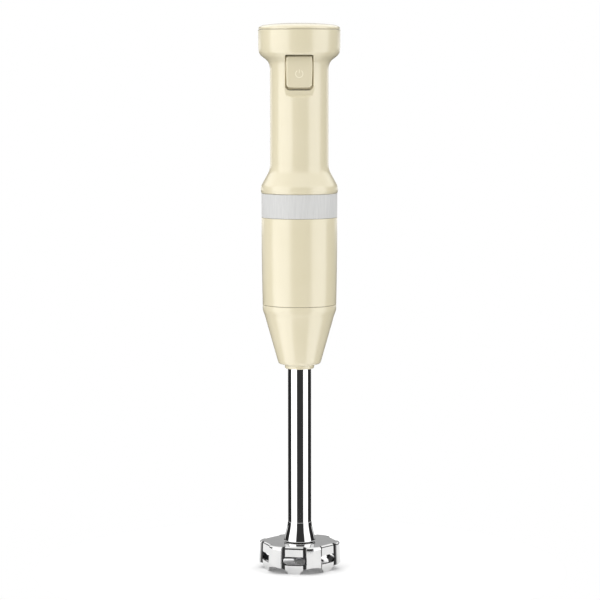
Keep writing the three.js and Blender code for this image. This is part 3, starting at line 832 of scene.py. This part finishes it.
bell = {
    "height": 20.65,
    "apothem": 27.45,
    "crown": 31.1,  # radius at the middle of a corner lobe
    "shoulder": 30.55,  # radius 10 degrees from it
    "turn": -9,  # degrees from the front to the first panel
    "panelHalf": 14.2,  # degrees to where a panel's groove starts
    "grooveEnd": 17.4,
    "groove": 0.55,  # below the panel
    "lobeStart": 18.8,
    "widest": 7,
    "leanAbove": 0.014,  # share of the radius that the wall comes in by
    "leanLobe": 0.006,  # more on the lobes
    "leanBelow": 0.03,
    "edge": 1.3,  # rounding
    "roofEnd": 8.2,
    "windowLow": 7,
    "windowHigh": 13.3,
    "windowHalf": 17,  # degrees
    "windowRound": 5,  # degrees that its round ends take
    "windowEnd": 0.7,  # half of its height at its ends
    "archHalf": 21,  # degrees
    "archHeight": 5.3,
    "wall": 1.45,
    "rim": 0.22,
    "columns": 360,
}


def smoothStep(part):
    part = min(max(part, 0), 1)
    return part * part * (3 - 2 * part)


def panelOffset(angle):
    # degrees from the middle of the nearest panel, 0 to 30
    return abs((angle - bell["turn"] + 30) % 60 - 30)


def bellRadius(offset):
    # distance from the axis to the wall: flat panel, groove, then a slightly crowned corner lobe
    panel = bell["apothem"] / math.cos(math.radians(offset))
    lobe = bell["crown"] - (bell["crown"] - bell["shoulder"]) * ((30 - offset) / 10) ** 2
    part = smoothStep((offset - bell["grooveEnd"]) / (bell["lobeStart"] - bell["grooveEnd"]))
    sunk = bell["groove"] * smoothStep((offset - bell["panelHalf"]) * 2) * (1 - part)
    return panel + (lobe - panel) * part - sunk


def paintedGrooveShade(offset):
    # 1 in the middle of a groove, 0 on the panels and lobes: where the painted groove shade goes
    into = smoothStep((offset - bell["panelHalf"] + 0.2) * 1.6)
    out = smoothStep((bell["lobeStart"] - 0.2 - offset) * 1.6)
    return into * out


def bellLean(z, offset):
    # the wall leans in a little above and below its widest level, and less on the flat panels
    above = max(z - bell["widest"], 0) / (bell["height"] - bell["widest"])
    below = max(bell["widest"] - z, 0) / bell["widest"]
    lobe = smoothStep((offset - bell["panelHalf"]) / (bell["lobeStart"] - bell["panelHalf"]))
    return 1 - (bell["leanAbove"] + bell["leanLobe"] * lobe) * above - bell["leanBelow"] * below ** 2


def windowHalfHeight(offset):
    # full at the middle of a window, low at its ends, and full again between the windows
    full, least = (bell["windowHigh"] - bell["windowLow"]) / 2, bell["windowEnd"]
    start, end = bell["windowHalf"] - bell["windowRound"], bell["windowHalf"]
    if offset < start:
        return full
    if offset <= end:
        return least + (full - least) * math.sqrt(max(0, 1 - ((offset - start) / (end - start)) ** 2))
    return least + (full - least) * smoothStep((offset - end) / 7)


def wallHeight(z, offset):
    # moves a level of the plain wall to follow the arches below and the windows above
    fromLobe = 30 - offset
    bottom = bell["archHeight"] * max(0, 1 - (fromLobe / bell["archHalf"]) ** 2) ** 0.6
    middle = (bell["windowLow"] + bell["windowHigh"]) / 2
    half = windowHalfHeight(offset)
    top = bell["height"] - bell["edge"]
    if z <= bell["windowLow"]:
        return bottom + (middle - half - bottom) * z / bell["windowLow"]
    if z <= bell["windowHigh"]:
        return middle + half * (z - middle) / (bell["windowHigh"] - middle)
    return middle + half + (top - middle - half) * (z - bell["windowHigh"]) / (top - bell["windowHigh"])


def makeBell():
    s = bell
    top = s["height"] - s["edge"]
    outside = 40  # plain radius that the levels are spun at before they take the bell's form
    roofRun = 10  # plain width of the roof
    levels = steps(0, s["windowLow"], 0.9) + steps(s["windowLow"], s["windowHigh"], 1)[1:]
    levels += steps(s["windowHigh"], top, 0.9)[1:]
    profile = [(outside, z) for z in levels]
    profile += [(outside - s["edge"] * (1 - math.cos(a)), top + s["edge"] * math.sin(a))
                for a in steps(0, math.pi / 2, 0.2)[1:]]
    profile += [(outside - s["edge"] - part * roofRun, s["height"]) for part in (0.05, 0.3, 0.6, 0.95, 1)]
    bm = bmesh.new()
    line = [bm.verts.new((r * mm, 0, z * mm)) for r, z in profile]
    for a, b in zip(line, line[1:]):
        bm.edges.new((a, b))
    bmesh.ops.spin(bm, geom=bm.verts[:] + bm.edges[:], cent=(0, 0, 0), axis=(0, 0, 1),
                   angle=fullTurn, steps=s["columns"], use_merge=True)
    bmesh.ops.remove_doubles(bm, verts=bm.verts, dist=weld)
    windows = []
    for face in bm.faces:
        middle = face.calc_center_median()
        angle = math.degrees(math.atan2(middle.x, -middle.y))
        if s["windowLow"] * mm < middle.z < s["windowHigh"] * mm and panelOffset(angle) < s["windowHalf"]:
            windows.append(face)
    bmesh.ops.delete(bm, geom=windows, context="FACES")
    # a mask for painting each groove dark: painted shade
    grooveShadeLayer = bm.verts.layers.float.new("groove")
    for vert in bm.verts:
        radius, z = math.hypot(vert.co.x, vert.co.y) / mm, vert.co.z / mm
        way = Vector((vert.co.x, vert.co.y)).normalized()
        offset = panelOffset(math.degrees(math.atan2(way.x, -way.y)))
        form = bellRadius(offset)
        inset = outside - radius
        if inset <= s["edge"] + 0.001:
            vert[grooveShadeLayer] = paintedGrooveShade(offset)
            if z <= top + 0.001:
                z = wallHeight(z, offset)
            reach = form * bellLean(z, offset) - inset
        else:
            part = (inset - s["edge"]) / roofRun
            rim = form * bellLean(s["height"], offset) - s["edge"]
            reach = rim + (s["roofEnd"] - rim) * part
        vert.co = (way.x * reach * mm, way.y * reach * mm, z * mm)
    bmesh.ops.recalc_face_normals(bm, faces=bm.faces)
    roof = [f for f in bm.faces if f.calc_center_median().z > (s["height"] - 0.01) * mm]
    if sum(f.normal.z for f in roof) < 0:
        bmesh.ops.reverse_faces(bm, faces=bm.faces)
    piece = finishPiece("bell_guard_pressed", bm, "blending_arm", "polished_steel", ["bell_guard"],
                        material=bellSteel)
    piece.data.materials.append(bellInsideShaded)
    addWallAndRims(piece, s["wall"], s["rim"], 2, 50)
    # the inside walls take the material with the painted shade
    piece.modifiers["wall"].material_offset = 1
    return piece


bellHub = {
    "profile": [(5.25, 11.6), (7.1, 11.6, 0.8), (7.1, 17.4, 0.8), (9.5, 19.1, 0.4), (9.5, 19.3),
                (5.25, 19.3)],
    "sides": 96,
}


def makeBellHub():
    bm = spun(bellHub["profile"], bellHub["sides"])
    return finishPiece("bell_hub", bm, "blending_arm", "polished_steel", material=bellSteel)


makeBell()
makeBellHub()
print("bell made")


bladeForm = {
    "low": 7.35,
    "thick": 1.4,
    "outline": [(-3, 0), (-3, -4), (-2.7, -11), (-1.9, -17.5), (1, -18.3), (2.4, -13), (3, -4), (3, 0)],
    "bend": 11,  # from the axis
    "reach": 18.3,
    "rise": 3,  # of two tips, and the fall of the other two
    "ground": 0.9,  # width of the cutting edge
    "hubInside": 3.3,
    "hubOutside": 5.3,
    "hubEdge": 0.2,
}


def bladeWing(azimuth, lift):
    s = bladeForm
    bm = slab(s["outline"], s["low"], s["low"] + s["thick"])
    for level in (s["bend"] - 1, s["bend"] + 0.5, s["bend"] + 2):
        bmesh.ops.bisect_plane(bm, geom=bm.verts[:] + bm.edges[:] + bm.faces[:],
                               plane_co=(0, -level * mm, 0), plane_no=(0, 1, 0))
    edges = [e for e in bm.edges if e.calc_face_angle(0) > 0.8
             and all(v.co.x > 0.5 * mm and v.co.z > (s["low"] + 1) * mm for v in e.verts)]
    bmesh.ops.bevel(bm, geom=edges, offset=s["ground"] * mm, segments=1, profile=0.5, affect="EDGES",
                    material=-1)
    for vert in bm.verts:
        part = max(0, -vert.co.y / mm - s["bend"]) / (s["reach"] - s["bend"])
        vert.co.z += lift * part ** 1.15 * mm
    turn = Matrix.Rotation(math.radians(azimuth), 3, "Z")
    bmesh.ops.rotate(bm, verts=bm.verts, cent=(0, 0, 0), matrix=turn)
    return bm


def makeBlade():
    s = bladeForm
    low, high = s["low"] - 0.02, s["low"] + s["thick"] + 0.05
    bm = spun([(s["hubInside"], low), (s["hubOutside"], low, s["hubEdge"]),
               (s["hubOutside"], high, s["hubEdge"]), (s["hubInside"], high)], 64)
    for azimuth, lift in ((90, -s["rise"]), (270, -s["rise"]), (0, s["rise"]), (180, s["rise"])):
        wing = bladeWing(azimuth, lift)
        # its root moves out of the hub's bore
        root = [v for v in wing.verts if math.hypot(v.co.x, v.co.y) < 3.4 * mm]
        way = Vector((math.sin(math.radians(azimuth)), -math.cos(math.radians(azimuth)), 0))
        bmesh.ops.translate(wing, verts=root, vec=way * 4 * mm)
        addInto(bm, wing)
    return finishPiece("blade_ground", bm, "blade_drive", "brushed_steel", ["blade"], 25, groundSteel)


bladeNut = {
    "profile": [(0, 2.85), (2.6, 2.85, 0.5), (4.5, 4.0, 0.7), (4.5, 6.95, 0.3), (3.35, 6.95),
                (3.35, 4.8), (0, 4.8)],
    "sides": 64,
}


def makeBladeNut():
    bm = spun(bladeNut["profile"], bladeNut["sides"])
    return finishPiece("blade_nut_domed", bm, "blade_drive", "brushed_steel", ["blade_nut"])


makeBlade()
makeBladeNut()
print("blade made")


studio = {
    "strength": 2.36,  # of the brightest soft box; every level below is a share of it
    "front": 0.02,
    "boxLeft": 0.97,
    "boxRight": 0.9,
    "boxStartLeft": 28,  # degrees round from the camera
    "boxStartRight": 38,
    "boxEnd": 90,
    "behind": 0.012,
    "behindHalf": 20,  # degrees to each side of straight behind
    "soft": 3,  # degrees, half of what an edge takes to fade
    # cards behind: the heights in degrees over which each fades in, its level and its half width
    "rings": [(-4.4, -3.6, 0.38, 44), (2, 3.5, 0.2, 16), (14, 20, 0.55, 84)],
    # the even light above and below: the heights over which it fades in, and its level
    "caps": [(28, 42, 0.54), (-46, -60, 0.42)],
    "floorRadius": 200,
    "floorGlow": 0.1,
    "floorTone": "F2F2F2",
}


def ringStops(level, half):
    # greys once round the studio, from behind past the left, the front and the right; the dark
    # behind is broken by a card of this level that reaches half degrees to each side
    s = studio
    left, right, end = s["boxStartLeft"], s["boxStartRight"], s["boxEnd"]
    soft, dark = s["soft"], s["behind"]
    turns = [(-180, level), (half - soft - 180, level), (half + soft - 180, dark), (-end - soft, dark),
             (-end + soft, s["boxLeft"]), (-left - soft, s["boxLeft"]), (-left + soft, s["front"]),
             (right - soft, s["front"]), (right + soft, s["boxRight"]), (end - soft, s["boxRight"]),
             (end + soft, dark), (180 - half - soft, dark), (180 - half + soft, level), (180, level)]
    return [((turn + 180) / 360, (grey, grey, grey, 1)) for turn, grey in turns]


def makeWorld():
    s = studio
    world = bpy.data.worlds.new("studio")
    world.use_nodes = True
    tree = world.node_tree
    tree.nodes.clear()
    # the angle round from behind as 0 to 1, and the height as an angle
    outward = addNode(tree, "TexCoord").outputs["Generated"]
    way = addNode(tree, "SeparateXYZ", None, {"Vector": outward})
    ahead = addNode(tree, "Math", {"operation": "MULTIPLY", 1: -1}, {0: way.outputs["Y"]})
    turn = addNode(tree, "Math", {"operation": "ARCTAN2"}, {0: way.outputs["X"], 1: ahead.outputs[0]})
    span = {"From Min": -math.pi, "From Max": math.pi}
    place = addNode(tree, "MapRange", span, {"Value": turn.outputs[0]}).outputs["Result"]
    height = addNode(tree, "Math", {"operation": "ARCSINE"}, {0: way.outputs["Z"]}).outputs[0]
    stops = ringStops(s["behind"], s["behindHalf"])
    colour = addNode(tree, "ValToRGB", {"stops": stops}, {"Fac": place}).outputs["Color"]
    for start, end, level, half in s["rings"]:
        fade = {"From Min": math.radians(start), "From Max": math.radians(end)}
        above = addNode(tree, "MapRange", fade, {"Value": height}).outputs["Result"]
        stops = ringStops(level, half)
        ring = addNode(tree, "ValToRGB", {"stops": stops}, {"Fac": place}).outputs["Color"]
        links = {"Factor": above, 6: colour, 7: ring}
        colour = addNode(tree, "Mix", {"data_type": "RGBA"}, links).outputs[2]
    for start, end, level in s["caps"]:
        fade = {"From Min": math.radians(start), "From Max": math.radians(end)}
        past = addNode(tree, "MapRange", fade, {"Value": height}).outputs["Result"]
        settings = {"data_type": "RGBA", 7: (level, level, level, 1)}
        colour = addNode(tree, "Mix", settings, {"Factor": past, 6: colour}).outputs[2]
    # the camera sees white paper in place of the boxes
    light = addNode(tree, "Background", {"Strength": s["strength"]}, {"Color": colour})
    paper = addNode(tree, "Background", {"Color": (1, 1, 1, 1), "Strength": 1})
    seen = addNode(tree, "LightPath").outputs["Is Camera Ray"]
    mixed = addNode(tree, "MixShader", None, {0: seen, 1: light.outputs[0], 2: paper.outputs[0]})
    addNode(tree, "OutputWorld", None, {"Surface": mixed.outputs[0]})
    bpy.context.scene.world = world


def makeFloor():
    bm = bmesh.new()
    bmesh.ops.create_circle(bm, cap_ends=True, segments=96, radius=studio["floorRadius"] * mm)
    mesh = bpy.data.meshes.new("floor")
    bm.to_mesh(mesh)
    bm.free()
    floor = bpy.data.objects.new("floor", mesh)
    bpy.context.scene.collection.objects.link(floor)
    floor.data.materials.append(stagePaper("floor_paper", studio["floorGlow"], studio["floorTone"]))


makeWorld()
makeFloor()
bpy.context.scene.view_settings.view_transform = "Standard"
print("stage made")
